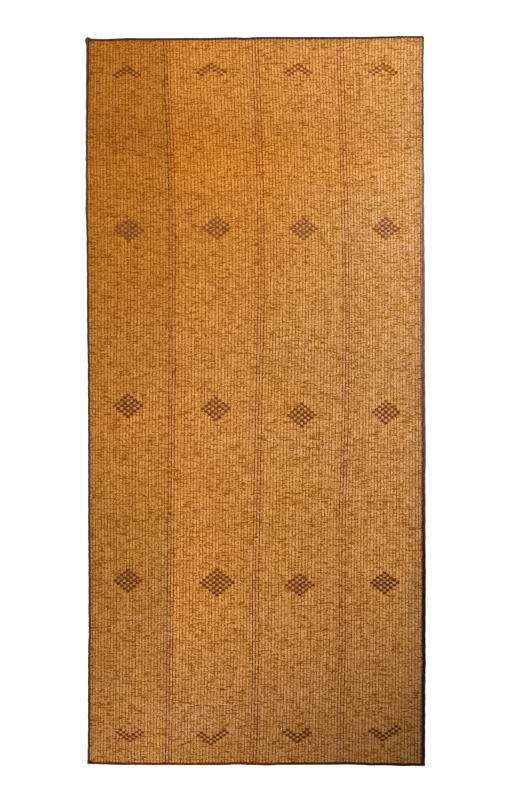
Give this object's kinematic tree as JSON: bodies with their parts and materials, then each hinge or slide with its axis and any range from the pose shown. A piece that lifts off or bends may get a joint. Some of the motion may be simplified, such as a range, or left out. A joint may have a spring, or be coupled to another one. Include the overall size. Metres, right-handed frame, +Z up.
{
  "type": "tuareg mat",
  "caption": "Long flat floor mat of thin reeds laced lengthwise with leather and bound with a folded leather edge.",
  "frame": {"origin": "on the surface that the mat lies on, under the middle of its outline", "axes": "+Z up out of the mat's face, +Y along its length, +X across it, along the reeds"},
  "size_m": [1.767, 3.795, 0.0054],
  "materials": {
    "reed": "dry split reeds, satin, aged to golden brown",
    "leather": "dark worn goat leather, soft sheen"
  },
  "bodies": {
    "root": {"reed_field": "reed", "binding_left": "leather", "binding_right": "leather", "binding_top": "leather", "binding_bottom": "leather"}
  },
  "joints": []
}
